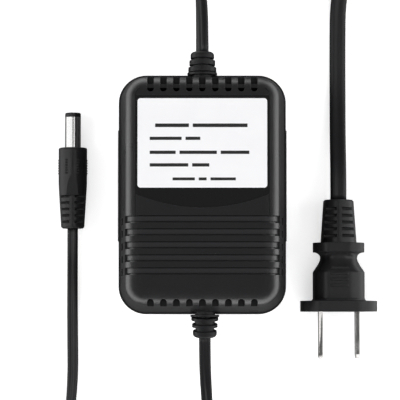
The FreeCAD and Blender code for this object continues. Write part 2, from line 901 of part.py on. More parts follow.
def wound_ring(name, inner, outer, way):
    """A closed ring around the bobbin, filling one of its two sections from flange to flange."""
    body = new_body(name)
    section = (bobbin_length() - 3 * s.flange_thickness) / 2
    sketch = sketch_in(body, f"{name}_section", "XZ_Plane", (0, 0, -way * s.flange_thickness / 2))
    if inner is None:
        draw(sketch, rectangle(*tube_size(), 0, s.core_middle))
    else:
        draw(sketch, rounded_rectangle(*wound_size(inner), s.winding_corner, 0, s.core_middle))
    corner = s.winding_corner + outer - s.winding_depth
    draw(sketch, rounded_rectangle(*wound_size(outer), corner, 0, s.core_middle))
    pad(body, sketch, section, backwards=way > 0)
    return body


def make_windings():
    depth, tape = s.winding_depth, s.winding_depth + s.tape_thickness
    pieces = []
    for side, way in (("primary", 1), ("secondary", -1)):
        pieces.append(wound_ring(f"{side}_winding", None, depth, way))
        pieces.append(wound_ring(f"{side}_tape", depth, tape, way))
    return pieces


def pin_places():
    """Each pin's x, the y of its inner end, and the way it points."""
    start = bobbin_length() / 2 + s.bobbin_wall
    return [(x * s.pin_spacing / 2, way * start, way) for way in (1, -1) for x in (-1, 1)]


def make_pins():
    pins = [rod(f"pin_{place}", s.pin_radius, s.pin_length, x, y, s.pin_height, (0, way, 0))
            for place, (x, y, way) in enumerate(pin_places(), 1)]
    group = doc.addObject("Part::Compound", "terminal_pins")
    group.Label = "terminal_pins"
    group.Links = pins
    return group


def make_thermal_fuse():
    """The one-shot fuse that lies across the top of the primary winding."""
    section = (bobbin_length() - s.flange_thickness) / 4
    _, height = wound_size(s.winding_depth + s.tape_thickness)
    z = s.core_middle + height / 2 + s.fuse_radius
    can = rod("fuse_can", s.fuse_radius, s.fuse_length, -s.fuse_length / 2, section, z, (1, 0, 0))
    length = s.fuse_length + 2 * s.fuse_lead_length
    wire = rod("fuse_wire", s.fuse_lead_radius, length, -length / 2, section, z, (1, 0, 0))
    fuse = doc.addObject("Part::Fuse", "thermal_fuse")
    fuse.Label = "thermal_fuse"
    fuse.Base, fuse.Tool = can, wire
    return fuse


# Strain reliefs at the case

def make_relief(name, root, tip, gap, droop, reach):
    """A moulded relief: flange and neck held in the wall, then a row of tapering rings."""
    body = new_body(name)
    wall = s.seam_ledge + s.wall_thickness
    seat = -(wall + s.relief_flange_radius * lean + s.fit_clearance)
    back = seat - s.relief_flange_thickness
    collar = root + s.relief_collar_proud
    held = sketch_in(body, f"{name}_held", "YZ_Plane")
    draw(held, [
        (back, 0), (back, s.relief_flange_radius), (seat, s.relief_flange_radius),
        (seat, s.relief_neck_radius), (s.fit_clearance, s.relief_neck_radius),
        (s.fit_clearance, collar), (s.relief_collar, collar), (s.relief_collar, 0),
    ])
    revolve(body, held)

    rings = sketch_in(body, f"{name}_rings", "YZ_Plane", turn=-droop)
    count = int(number(s.relief_rings))
    pitch = (reach - s.relief_collar) / s.relief_rings
    step = (root - tip) / (s.relief_rings - 1)
    core = s.relief_neck_radius - s.relief_core_inset
    edge = s.relief_ring_edge
    path = [(-s.relief_buried, 0), (-s.relief_buried, core)]
    for place in range(count):
        start, radius = s.relief_collar + place * pitch, root - place * step
        waist = radius - s.relief_groove_depth
        path.append((start, waist if place else core))
        path += [(start, radius - edge), (start + edge, radius)]
        if place < count - 1:
            end = start + pitch - gap
            path += [(end, radius), (end, waist - step)]
    path += [(reach - s.relief_tip_round, tip), (reach, tip - s.relief_tip_round, -s.relief_tip_round),
             (reach, 0)]
    draw(rings, path)
    revolve(body, rings)
    return body


def make_reliefs():
    mains = make_relief("input_strain_relief", s.mains_relief_root, s.mains_relief_tip,
                        s.mains_relief_gap, s.mains_droop, s.mains_relief_reach)
    put(mains, 0, s.case_length / 2, s.seam_height)
    output = make_relief("output_strain_relief", s.output_relief_root, s.output_relief_tip,
                         s.output_relief_gap, s.output_droop, s.output_relief_reach)
    output.Placement = Placement(Vector(), Rotation(Vector(0, 0, 1), 180))
    put(output, s.output_exit, -s.case_length / 2, s.seam_height)
    return [mains, output]


# Tubes: cords, leads and wires

def corner_radii(points):
    """The radius at each inner point: as large as its two runs allow."""
    radii = []
    for before, here, after in zip(points, points[1:], points[2:]):
        run = min((here - before).Length, (after - here).Length)
        turn = (here - before).getAngle(after - here)
        radii.append(0.45 * run / math.tan(turn / 2))
    return radii


def sweep(points, profile):
    """Straight runs joined by tangent arcs; the flat profile starts at the first point."""
    solids, length = [], 0.0
    here, face = points[0], profile
    for corner, following, radius in zip(points[1:], points[2:], corner_radii(points)):
        first, second = (corner - here).normalize(), (following - corner).normalize()
        turn = first.getAngle(second)
        back = radius * math.tan(turn / 2)
        run = corner - first * back - here
        solids.append(face.extrude(run))
        face = face.translated(run)
        axis = first.cross(second).normalize()
        centre = corner - first * back + axis.cross(first) * radius
        solids.append(face.revolve(centre, axis, math.degrees(turn)))
        face = face.rotated(centre, axis, math.degrees(turn))
        length += run.Length + radius * turn
        here = corner + second * back
    solids.append(face.extrude(points[-1] - here))
    length += (points[-1] - here).Length
    tube = solids[0].multiFuse(solids[1:]).removeSplitter().Solids[0]
    return tube, length


def round_profile(start, heading, radius):
    return Part.Face(Part.Wire(Part.makeCircle(radius, start, heading)))


def flat_profile(start, heading, width, thickness):
    """A strip with half-round edges, its width level."""
    across = heading.cross(Vector(0, 0, 1)).normalize()
    up = across.cross(heading).normalize() * (thickness / 2)
    side, bulge = across * ((width - thickness) / 2), across * (width / 2)
    corners = [start + side + up, start + side - up, start - side - up, start - side + up]
    edges = [
        Part.Arc(corners[0], start + bulge, corners[1]).toShape(),
        Part.LineSegment(corners[1], corners[2]).toShape(),
        Part.Arc(corners[2], start - bulge, corners[3]).toShape(),
        Part.LineSegment(corners[3], corners[0]).toShape(),
    ]
    return Part.Face(Part.Wire(edges))


def tube_feature(name, points, profile):
    tube, length = sweep(points, profile)
    smallest = min(corner_radii(points))
    ratio = tube.Volume / (profile.Area * length)
    print(f"{name}: length {length:.1f}, smallest radius {smallest:.1f}, volume ratio {ratio:.4f}")
    feature = doc.addObject("Part::Feature", name)
    feature.Label = name
    feature.Shape = tube
    return feature, length


def round_tube(name, route, radius):
    points = [Vector(*[number(value) for value in point]) for point in route]
    feature, _ = tube_feature(name, points, round_profile(points[0], points[1] - points[0],
                                                          number(radius)))
    return feature


def make_leads():
    """Insulated leads from each relief's inner face up to the bobbin's pins."""
    inner = (s.case_length / 2 - s.seam_ledge - s.wall_thickness - s.fit_clearance
             - s.relief_flange_radius * lean - s.relief_flange_thickness)
    names = ("live_lead", "neutral_lead", "output_lead_a", "output_lead_b")
    leads = []
    for name, (pin_x, pin_y, way) in zip(names, pin_places()):
        side = 1 if pin_x.number > 0 else -1
        middle = 0 if way > 0 else s.output_exit
        start_x = middle + side * s.lead_spacing / 2
        end = pin_y + way * s.pin_length
        low, high = s.seam_height, s.pin_height
        route = [
            (start_x, way * inner, low), (start_x, way * (inner - s.lead_wall_run), low),
            (pin_x, end + way * s.lead_pin_run, high), (pin_x, end, high),
        ]
        leads.append(round_tube(name, route, s.lead_radius))
    return leads


# Cords

def relief_exit(droop, reach, x, way, run):
    """The middle of a relief's outer face, and a point straight out from it."""
    angle = math.radians(number(droop))
    heading = Vector(0, way * math.cos(angle), -math.sin(angle))
    root = Vector(number(x), way * number(s.case_length) / 2, number(s.seam_height))
    tip = root + heading * number(reach)
    return [tip, tip + heading * run]


def cord_pieces(name, route, plug_route, width, thickness, ring):
    """Both loose stretches of a cord and the round coil between them."""
    radius, across, along = ring
    pitch = thickness + s.coil_slack
    half = number(pitch * s.coil_columns / 2)
    height = number(width * s.coil_layers)
    centre = Vector(number(across), number(along), 0)
    outer = Part.makeCylinder(number(radius) + half, height, centre)
    hole = Part.makeCylinder(number(radius) - half, height, centre)
    coil = doc.addObject("Part::Feature", f"{name}_coil")
    coil.Label = f"{name}_coil"
    coil.Shape = outer.cut(hole)
    pieces = [coil]
    for end, points in (("body_run", route), ("plug_run", plug_route)):
        profile = flat_profile(points[0], points[1] - points[0], number(width), number(thickness))
        whole, _ = tube_feature(f"{name}_{end}_whole", points, profile)
        pieces.append(cut(f"{name}_{end}", whole, [coil]))
    return pieces


def make_mains_cord():
    route = relief_exit(s.mains_droop, s.mains_relief_reach, 0, 1, 10) + [
        Vector(-0.4, 70.5, 14.9), Vector(-3.4, 82.5, 11.6), Vector(-7.6, 94.5, 9.2),
        Vector(-9.7, 107.0, 8.4),
    ]
    floor = 1.6
    plug_x = number(s.plug_across)
    plug_y = number(s.plug_face + s.plug_relief_end)
    plug_z = number(s.plug_flange_height) / 2
    plug_route = [
        Vector(plug_x, plug_y, plug_z), Vector(plug_x, plug_y + 10.0, plug_z),
        Vector(46.97, 21.0, 3.6), Vector(47.0, 36.0, floor), Vector(47.0, 53.0, floor),
        Vector(47.3, 70.0, floor), Vector(51.1, 82.5, 2.2), Vector(56.3, 94.5, 2.7),
        Vector(59.6, 107.0, 2.8),
    ]
    ring = (s.mains_coil_radius, s.mains_coil_across, s.mains_coil_along)
    return cord_pieces("mains_cord", route, plug_route, s.mains_cord_width,
                       s.mains_cord_thickness, ring)


def make_output_cord():
    route = relief_exit(s.output_droop, s.output_relief_reach, s.output_exit, -1, 8.5) + [
        Vector(1.0, -66.0, 13.1), Vector(1.8, -76.0, 9.3), Vector(2.9, -87.5, 6.8),
        Vector(3.3, -99.5, 6.0),
    ]
    floor = 1.5
    plug_x = number(s.barrel_across)
    plug_y = number(s.barrel_handle_start)
    plug_z = number(s.handle_radius)
    plug_route = [
        Vector(plug_x, plug_y, plug_z), Vector(plug_x, plug_y - 7.5, plug_z),
        Vector(-45.25, -27.5, 2.5), Vector(-45.4, -37.0, floor), Vector(-45.35, -49.0, floor),
        Vector(-45.3, -62.0, floor), Vector(-46.2, -75.0, 1.6), Vector(-48.0, -87.0, 1.9),
        Vector(-49.5, -99.5, 2.0),
    ]
    ring = (s.output_coil_radius, s.output_coil_across, s.output_coil_along)
    return cord_pieces("output_cord", route, plug_route, s.output_cord_width,
                       s.output_cord_thickness, ring)


# Mains plug, in its own frame: blades towards -Y, cord towards +Y, origin on its front face

def plug_place(thing):
    put(thing, s.plug_across, s.plug_face, s.plug_flange_height / 2)
    return thing


def plug_section(body, name, place, width, height, flat):
    """A cross-section of the plug, rounded at its sides but for a short flat."""
    sketch = sketch_in(body, name, "XZ_Plane", (0, 0, -place))
    draw(sketch, rounded_rectangle(width, height, (height - flat) / 2))
    return sketch


def plug_moulding():
    body = new_body("mains_plug_moulding")
    width, height, flat = s.plug_body_width, s.plug_body_height, s.plug_body_flat
    flange = plug_section(body, "plug_flange", 0, s.plug_flange_width, s.plug_flange_height,
                          s.plug_flange_flat)
    pad(body, flange, s.plug_flange_thickness, backwards=True)
    block = plug_section(body, "plug_block", s.plug_flange_thickness, width, height, flat)
    pad(body, block, s.plug_block_length, backwards=True)

    shoulder = plug_section(body, "plug_shoulder", s.plug_shoulder_place, width, height, flat)
    sections = [
        plug_section(body, "plug_waist", s.plug_shoulder_place + 2 * s.plug_neck_reach / 3,
                     (width + 5 * s.plug_neck_width) / 6, (height + 3 * s.plug_neck_height) / 4,
                     s.plug_neck_flat),
        plug_section(body, "plug_neck", s.plug_neck_place, s.plug_neck_width,
                     s.plug_neck_height, s.plug_neck_flat),
        plug_section(body, "plug_flare", s.plug_collar_start,
                     s.plug_collar_width - 2 * s.plug_collar_step,
                     height - 2 * s.plug_collar_step, flat),
    ]
    before = volume(body)
    loft = add_feature(body, "AdditiveLoft", shoulder)
    loft.Sections = sections
    settle(body, True, before)
    collar = plug_section(body, "plug_collar", s.plug_collar_start, s.plug_collar_width,
                          height, flat)
    pad(body, collar, s.plug_collar_length, backwards=True)

    relief = sketch_in(body, "plug_relief", "YZ_Plane")
    draw(relief, [
        (s.plug_collar_end, 0), (s.plug_collar_end, s.plug_relief_root),
        (s.plug_relief_end - s.plug_relief_edge, s.plug_relief_tip),
        (s.plug_relief_end, s.plug_relief_tip - s.plug_relief_edge),
        (s.plug_relief_end, 0),
    ])
    revolve(body, relief)
    cut_grooves(body, "plug_grooves", s.plug_groove_first, s.plug_groove_pitch,
                s.plug_groove_width, s.plug_groove_count,
                s.plug_relief_tip - s.plug_groove_depth, s.plug_relief_root + BEYOND)

    ridges = sketch_in(body, "plug_ridges", "XY_Plane")
    draw(ridges, rectangle(s.ridge_length, s.ridge_width, 0, s.ridge_first))
    first = pad(body, ridges, s.plug_body_height + 2 * s.ridge_proud, both_ways=True)
    pattern(body, first, "V_Axis", s.ridge_pitch, s.ridge_count)
    join = level("y", s.plug_flange_thickness)
    round_edges(body, s.plug_fillet, lambda edge: join(edge) and within(edge, width / 2, height / 2))
    return body


def cut_grooves(body, name, first, pitch, width, count, floor, clear):
    """Rows of slots across the top and the bottom, parted by a web along the middle."""
    web = s.groove_web / 2
    for part, way in (("upper", 1), ("lower", -1)):
        slots = sketch_in(body, f"{name}_{part}", "XY_Plane", (0, 0, way * floor))
        for side in (1, -1):
            draw(slots, rectangle(clear - web, width, side * (clear + web) / 2, first + width / 2))
        row_start = pocket(body, slots, backwards=way > 0)
        pattern(body, row_start, "V_Axis", pitch, count)


def make_blade(name, side):
    body = new_body(name)
    half = s.blade_width / 2
    tip, bevel = -s.blade_reach, s.blade_chamfer
    sketch = sketch_in(body, f"{name}_outline", "YZ_Plane")
    draw(sketch, [(s.blade_root, -half), (s.blade_root, half), (tip + bevel, half),
                  (tip, half - bevel), (tip, bevel - half), (tip + bevel, -half)])
    circles(sketch, [(-s.blade_hole_place, 0)], s.blade_hole_radius)
    pad(body, sketch, s.blade_thickness, both_ways=True)
    at_tip = level("y", tip)
    round_edges(body, s.blade_edge, lambda edge: at_tip(edge) and upright(edge), kind="Chamfer")
    put(body, s.plug_across + side * s.blade_spacing / 2, s.plug_face, s.plug_flange_height / 2)
    return body


def make_plug_wires():
    wires = []
    axis = s.plug_flange_height / 2
    for name, side in (("plug_wire_left", -1), ("plug_wire_right", 1)):
        far = s.plug_across + side * s.blade_spacing / 2
        near = s.plug_across + side * s.plug_wire_spacing / 2
        route = [
            (far, s.plug_face + s.blade_root, axis),
            (far, s.plug_face + s.blade_root + s.plug_wire_run, axis),
            (near, s.plug_face + s.plug_neck_place, axis),
            (near, s.plug_face + s.plug_relief_end, axis),
        ]
        wires.append(round_tube(name, route, s.plug_wire_radius))
    return wires


def make_mains_plug():
    blades = [make_blade("blade_left", -1), make_blade("blade_right", 1)]
    wires = make_plug_wires()
    block = new_body("mains_plug_insert_block")
    section = plug_section(block, "insert_section", 0, s.insert_width, s.insert_height, s.insert_flat)
    pad(block, section, s.insert_depth, backwards=True)
    plug_place(block)
    insert = cut("mains_plug_insert", block, blades + wires)
    moulding = plug_place(plug_moulding())
    return [cut("mains_plug_body", moulding, [block] + wires), insert] + blades + wires


# Barrel plug, in its own frame: tip towards +Y, cord towards -Y, origin on its cord end

def barrel_place(thing):
    put(thing, s.barrel_across, s.barrel_handle_start, s.handle_radius)
    return thing


def handle_moulding():
    body = new_body("dc_plug_moulding")
    end, waist = s.handle_length, s.handle_waist_place
    profile = sketch_in(body, "handle_profile", "YZ_Plane")
    draw(profile, [
        (0, 0), (0, s.handle_end_radius - s.handle_edge), (s.handle_edge, s.handle_end_radius),
        (waist, s.handle_waist_radius), (waist + s.handle_shoulder, s.handle_radius),
        (end - s.handle_round, s.handle_radius),
        (end, s.handle_radius - s.handle_round, -s.handle_round), (end, 0),
    ])
    revolve(body, profile)
    cut_grooves(body, "handle_grooves", s.handle_groove_first, s.handle_groove_pitch,
                s.handle_groove_width, s.handle_groove_count,
                s.handle_end_radius - s.handle_groove_depth, s.handle_radius + BEYOND)

    facet = sketch_in(body, "handle_facets", "YZ_Plane")
    high = s.handle_radius
    low = s.handle_radius - s.facet_depth
    for side in (1, -1):
        draw(facet, [(waist, side * low), (waist + s.facet_length, side * high),
                     (waist + s.facet_length, side * (high + BEYOND)),
                     (waist, side * (high + BEYOND))])
    pocket(body, facet, 2 * (s.handle_radius + BEYOND), both_ways=True)
    add_handle_ribs(body)
    return body


def add_handle_ribs(body):
    """Rows of short ribs for the fingers: one down each side, two along the top and the bottom."""
    up = s.handle_radius * cosine(s.rib_angle)
    across = up * tangent(s.rib_angle)
    sides = sketch_in(body, "side_ribs", "XY_Plane")
    reach = 2 * (s.handle_radius + s.rib_proud)
    draw(sides, rectangle(reach, s.rib_length, 0, s.rib_first))
    first = pad(body, sides, s.rib_width, both_ways=True)
    pattern(body, first, "V_Axis", s.rib_pitch, s.rib_count)
    faces = sketch_in(body, "face_ribs", "XY_Plane")
    for side in (1, -1):
        draw(faces, rectangle(s.rib_width, s.rib_length, side * across, s.rib_first))
    first = pad(body, faces, 2 * (up + s.rib_proud), both_ways=True)
    pattern(body, first, "V_Axis", s.rib_pitch, s.rib_count)


def make_barrel_parts():
    """The tip of the low-voltage plug: sleeve, insulator and inner contact."""
    face, mouth = s.handle_length, s.handle_length + s.barrel_length
    root, end = face - s.barrel_root, mouth + s.tip_length
    held = s.barrel_radius - s.barrel_root_taper
    sleeve = turned("barrel_sleeve", [
        (root, s.barrel_bore), (mouth, s.barrel_bore), (mouth, s.barrel_radius),
        (face, s.barrel_radius), (root, held),
    ])
    seat, edge = end - s.contact_recess, s.tip_edge
    insulator = turned("barrel_insulator", [
        (root, s.contact_radius), (seat, s.contact_radius), (seat, s.contact_bore),
        (end - edge, s.contact_bore), (end, s.contact_bore + edge), (end, s.barrel_radius - edge),
        (end - edge, s.barrel_radius), (mouth, s.barrel_radius), (mouth, s.barrel_bore),
        (root, s.barrel_bore),
    ])
    tail = root - s.contact_tail
    contact = turned("center_contact", [
        (tail, 0), (tail, s.contact_radius), (seat, s.contact_radius), (seat, s.contact_bore),
        (seat - s.contact_depth, s.contact_bore), (seat - s.contact_depth, 0),
    ])
    return [barrel_place(piece) for piece in (sleeve, insulator, contact)]


def make_barrel_wires():
    """The two wires inside the handle: one to the sleeve, one to the inner contact."""
    axis = s.handle_radius
    root = s.barrel_handle_start + s.handle_length - s.barrel_root
    wires = []
    sleeve_x = (s.barrel_radius - s.barrel_root_taper + s.barrel_bore) / 2
    for name, side, far, end in (
            ("dc_wire_sleeve", -1, sleeve_x, root),
            ("dc_wire_tip", 1, s.barrel_wire_tip_place, root - s.contact_tail)):
        near = s.barrel_across + side * s.barrel_wire_spacing / 2
        turn = s.barrel_across + side * far
        route = [
            (near, s.barrel_handle_start, axis),
            (near, s.barrel_handle_start + s.barrel_wire_cord_run, axis),
            (turn, end - s.barrel_wire_tip_run, axis), (turn, end, axis),
        ]
        wires.append(round_tube(name, route, s.barrel_wire_radius))
    return wires


def make_barrel_plug():
    parts = make_barrel_parts()
    wires = make_barrel_wires()
    moulding = barrel_place(handle_moulding())
    return [cut("dc_plug_handle", moulding, parts + wires)] + parts + wires


# The whole part

def make_transformer():
    pieces = [make_core_e(), make_core_i()] + make_windings()
    pins = make_pins()
    bobbin_blank = make_bobbin()
    bobbin_blank.Label = "bobbin_blank"
    bobbin = cut("bobbin_with_pins", bobbin_blank, [pins])
    bobbin.Label = "bobbin"
    return pieces + [bobbin, pins, make_thermal_fuse()]


def make_part():
    pieces = [make_top_case(), make_bottom_case(), make_label(), make_screws()]
    pieces += make_transformer()
    pieces += make_reliefs() + make_leads()
    pieces += make_mains_cord() + make_output_cord()
    pieces += make_mains_plug() + make_barrel_plug()
    return pieces


def write(pieces):
    doc.recompute()
    broken = [item.Label for item in doc.Objects if {"Invalid", "Error"} & set(item.State)]
    broken += [piece.Label for piece in pieces if piece.Shape.isNull() or not piece.Shape.isValid()]
    if broken:
        raise ValueError("failed: " + ", ".join(broken))
    for piece in pieces:
        piece.Shape.exportStep(f"parts/{piece.Label}.step")
    print(len(pieces), "pieces written")


write(make_part())
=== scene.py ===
import math

import bpy
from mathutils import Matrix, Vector


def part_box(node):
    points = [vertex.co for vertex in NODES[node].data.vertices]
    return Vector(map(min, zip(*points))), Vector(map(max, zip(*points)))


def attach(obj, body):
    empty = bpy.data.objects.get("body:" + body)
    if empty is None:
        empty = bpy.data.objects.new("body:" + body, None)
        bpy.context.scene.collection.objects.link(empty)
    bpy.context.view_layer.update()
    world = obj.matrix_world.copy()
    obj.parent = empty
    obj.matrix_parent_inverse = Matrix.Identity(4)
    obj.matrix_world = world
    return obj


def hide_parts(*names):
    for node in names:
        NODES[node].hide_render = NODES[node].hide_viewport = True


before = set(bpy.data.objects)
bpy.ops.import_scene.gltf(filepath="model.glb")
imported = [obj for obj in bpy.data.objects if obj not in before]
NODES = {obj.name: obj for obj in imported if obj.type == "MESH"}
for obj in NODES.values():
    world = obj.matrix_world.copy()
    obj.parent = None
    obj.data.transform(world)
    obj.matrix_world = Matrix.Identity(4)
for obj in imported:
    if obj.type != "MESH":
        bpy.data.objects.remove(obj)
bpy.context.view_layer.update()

# Sizes are in millimetres and become metres through MM, apart from the floor and the lamps
MM = 0.001

# Camera
VIEW_TARGET = Vector((-0.79, -1.13, 6.0)) * MM
VIEW_DISTANCE = 900 * MM
VIEW_TILT = math.radians(3.1)
VIEW_WIDTH = 138.9 * MM
SENSOR_WIDTH = 36

# Case, from part.py: its half width is rounded to 0.1
CASE_LENGTH = 81.8
CASE_HALF = (28.6, 40.9)
SEAM_HEIGHT = 19.0

# Bands sunk across the cover: lighter, with a dark line of painted shade along the edge nearer the
# label
BAND_FIRST = -8.38
BAND_PITCH = 4.32
BAND_WIDTH = 2.42
BAND_COUNT = 5
BAND_LOW = 40.1
BAND_ROUGHNESS = 0.42
BAND_COLOUR = (0.022, 0.022, 0.024)
BAND_EDGE = 0.3
EDGE_ROUGHNESS = 0.9
BAND_EDGE_PAINTED_SHADE = (0.001, 0.001, 0.001)

# Polished floor of the label recess, its darker colour painted shade for the dark room that the
# polish
# reflects: found by its height, within limits a little past its sides and its far end
RECESS_HEIGHTS = (45.44, 45.56)
RECESS_REACH = 23.5
RECESS_END = 34.0
RECESS_ROUGHNESS = 0.22
RECESS_PAINTED_SHADE = (0.0025, 0.0025, 0.003)

# Finishes: most of a noise lies in its range, and each polish changes by this much
NOISE_RANGE = (0.3, 0.7)
PATCH_SIZE = 9.0
GRAIN_DETAIL = 3.0
MOULDED_POLISH = (-0.04, 0.04)
METAL_POLISH = (-0.03, 0.05)
EDGE_SAMPLES = 6
SHEET_PITCH = 0.5

# Blades: slow waves left by the stamping
WAVE_SIZE = 4.0
WAVE_STRETCH = (1.0, 0.35, 1.0)

# Strain reliefs at the case: the cord leaves each one straight out, a little downwards, and
# starts this far inside
CORD_TUCK = 2.0
MAINS_DROOP = 3.5
MAINS_REACH = 8.1
MAINS_STRAIGHT = 10
OUTPUT_DROOP = 10.0
OUTPUT_REACH = 7.86
OUTPUT_STRAIGHT = 8.5
OUTPUT_EXIT = 0.85

# Mains cord: its route in x, y and z, and how far the flat section turns at each point of it
# in degrees. The route is part.py's, with some points up to 0.35 to the side of theirs there.
# The case's twists start with those of the two points at the relief.
MAINS_WIDTH = 5.6
MAINS_THICKNESS = 2.8
MAINS_VALLEY = 0.18
MAINS_COIL_CENTRE = (23.45, 107.0)
MAINS_COIL_INNER = 24.45
MAINS_COIL_PITCH = 2.9
MAINS_COIL_LEVELS = (8.4, 2.8)
MAINS_CASE_RUN = [
    (-0.4, 70.5, 14.9), (-3.4, 82.5, 11.6), (-7.6, 94.5, 9.2), (-9.7, 107.0, 8.4),
]
MAINS_CASE_TWIST = [55, 58, 68, 78, 88, 90]
MAINS_PLUG_RUN = [
    (47.18, -1.21 - CORD_TUCK, 7.5), (47.18, 8.79, 7.5), (47.2, 21.0, 3.6),
    (47.3, 36.0, 1.6), (47.3, 53.0, 1.6), (47.5, 70.0, 1.6),
    (51.1, 82.5, 2.2), (56.3, 94.5, 2.7), (59.6, 107.0, 2.8),
]
MAINS_PLUG_TWIST = [0, 0, 0, 0, 0, 5, 35, 75, 90]

# Output cord, in the same way
OUTPUT_WIDTH = 4.0
OUTPUT_THICKNESS = 2.1
OUTPUT_VALLEY = 0.42
OUTPUT_COIL_CENTRE = (-22.0, -99.5)
OUTPUT_COIL_INNER = 18.7
OUTPUT_COIL_PITCH = 2.2
OUTPUT_COIL_LEVELS = (6.0, 2.0)
OUTPUT_CASE_RUN = [
    (1.3, -66.0, 13.1), (2.0, -76.0, 9.3), (2.9, -87.5, 6.8), (3.3, -99.5, 6.0),
]
OUTPUT_CASE_TWIST = [0, 0, 10, 35, 75, 90]
OUTPUT_PLUG_RUN = [
    (-45.02, -10.98 + CORD_TUCK, 4.95), (-45.02, -18.48, 4.95), (-45.15, -27.5, 2.5),
    (-45.2, -37.0, 1.5), (-45.1, -49.0, 1.5), (-44.95, -62.0, 1.5),
    (-45.9, -75.0, 1.6), (-48.0, -87.0, 1.9), (-49.5, -99.5, 2.0),
]
OUTPUT_PLUG_TWIST = [30, 30, 30, 28, 25, 28, 45, 75, 90]

# Both coils: columns of turns in two layers, wound inwards above and outwards below. The cord
# steps to its next column or layer within a part of each turn named here.
COIL_TURNS = 7.5
COIL_COLUMNS = 4
COIL_TWIST = 90
POINTS_PER_TURN = 24
INWARD_TURNS = (0, 1, 2)
DOWNWARD_TURNS = (3,)
OUTWARD_TURNS = (4, 5, 6, 7)
STEP_IN = (0.60, 0.70)
STEP_DOWN = (0.46, 0.60)
STEP_OUT = (0.36, 0.46)

# How finely a cord is made, and how far along its path the next point of the route is sought
PATH_ORDER = 3
PATH_RESOLUTION = 5
SECTION_SEGMENTS = 8
SEARCH_AHEAD = 60

# Printed label: a blank layout of plain bars, with no lettering
PRINT_THICKNESS = 0.02
WORD_GAP = 1.3
BAR_SHARE = 0.5
LABEL_ROWS = [
    {"left": -15.7, "top": 22.8, "height": 2.4, "words": [11.2, 18.2]},
    {"left": -17.5, "top": 18.3, "height": 2.1, "words": [10.6, 4.9]},
    {"left": -17.5, "top": 13.7, "height": 2.2, "words": [8.6, 12.4, 9.5]},
    {"left": -17.5, "top": 9.5, "height": 2.2, "words": [12.8, 5.7]},
    {"left": -9.9, "top": 4.7, "height": 1.9, "words": [7.4, 2.6, 8.4]},
]
BOX_SIDES = [(0, 3, 2, 1), (4, 5, 6, 7), (0, 1, 5, 4), (1, 2, 6, 5), (2, 3, 7, 6), (3, 0, 4, 7)]

# Floor, in metres: how much it glows where it is seen, and in reflections beyond the case's
# shade, which is in millimetres from the case's sides
FLOOR_LEVEL = -0.0002
FLOOR_HALF = 3.0
FLOOR_COLOUR = (0.93, 0.93, 0.93)
FLOOR_ROUGHNESS = 0.9
FLOOR_SPECULAR = 0.1
FLOOR_GLOW = 0.58
FLOOR_MIRRORED = 0.6
SHADE_INNER = 15.0
SHADE_OUTER = 75.0
SHADE_COLOUR = (0.12, 0.12, 0.12)

# Room: its light on surfaces, its brightness high up in reflections, and the heights of view
# between which it fades from white
ROOM_LIGHT = 0.2
ROOM_ABOVE = 0.14
HORIZON = (0.0, 0.25)

# Soft lamps: place and size in metres, and power in watts
SOFTBOXES = {
    "south_box": ((0.0, -1.0, 0.65), (1.0, 0.5), 9),
    "west_box": ((-0.95, 0.0, 0.6), (0.5, 1.0), 6),
    "east_box": ((0.95, 0.0, 0.6), (0.5, 1.0), 6),
    "north_box": ((0.0, 1.1, 0.6), (1.0, 0.4), 4),
}

# Lamps that light only these nodes and the cords, and show in their gloss
SIDE_BOXES = {
    "high_west_box": ((-0.68, 0.0, 0.63), (0.32, 1.4), 1.7),
    "high_east_box": ((0.68, 0.0, 0.63), (0.32, 1.4), 1.7),
}
SIDE_NODES = ["barrel_sleeve", "center_contact", "blade_left", "blade_right", "mains_plug_body",
              "mains_plug_insert", "dc_plug_handle", "barrel_insulator", "input_strain_relief",
              "output_strain_relief"]


# Small helpers

def place(obj):
    """Put a new piece on the one body."""
    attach(obj, "root")


def mesh_object(name, vertices, faces, smooth=True):
    mesh = bpy.data.meshes.new(name)
    mesh.from_pydata([tuple(vertex) for vertex in vertices], [], faces)
    mesh.validate()
    for polygon in mesh.polygons:
        polygon.use_smooth = smooth
    obj = bpy.data.objects.new(name, mesh)
    bpy.context.scene.collection.objects.link(obj)
    return obj


def ease(value, low, high):
    """Nought below a range, one above it, and a smooth rise within."""
    part = min(max((value - low) / (high - low), 0.0), 1.0)
    return part * part * (3 - 2 * part)


# Shader nodes

def new_material(name):
    material = bpy.data.materials.new(name)
    material.use_nodes = True
    return material, material.node_tree, material.node_tree.nodes["Principled BSDF"]


def add_node(tree, kind, settings=(), **inputs):
    """A new node with these settings, and values for inputs named with _ for each space."""
    node = tree.nodes.new(kind)
    for name, value in dict(settings).items():
        setattr(node, name, value)
    for name, value in inputs.items():
        node.inputs[name.replace("_", " ")].default_value = value
    return node


def axes(tree, space="Object"):
    """The outputs X, Y and Z of each point's place in a space."""
    coordinates = add_node(tree, "ShaderNodeTexCoord")
    split = add_node(tree, "ShaderNodeSeparateXYZ")
    tree.links.new(coordinates.outputs[space], split.inputs["Vector"])
    return split.outputs


def noise(tree, size, detail=2.0, stretch=(1, 1, 1)):
    """Noise whose features are about this size, in millimetres, in the object's own space."""
    coordinates = add_node(tree, "ShaderNodeTexCoord")
    mapping = add_node(tree, "ShaderNodeMapping", Scale=stretch)
    texture = add_node(tree, "ShaderNodeTexNoise", Scale=1 / (size * MM), Detail=detail)
    tree.links.new(coordinates.outputs["Object"], mapping.inputs["Vector"])
    tree.links.new(mapping.outputs["Vector"], texture.inputs["Vector"])
    return texture.outputs["Fac"]


def math_node(tree, operation, *values):
    """The result of an operation on links and numbers."""
    node = add_node(tree, "ShaderNodeMath", {"operation": operation})
    for socket, value in zip(node.inputs, values):
        if isinstance(value, bpy.types.NodeSocket):
            tree.links.new(value, socket)
        else:
            socket.default_value = value
    return node.outputs["Value"]


def product(tree, first, *others):
    """Masks and numbers multiplied together: masks alone give one where all of them are one."""
    for other in others:
        first = math_node(tree, "MULTIPLY", first, other)
    return first


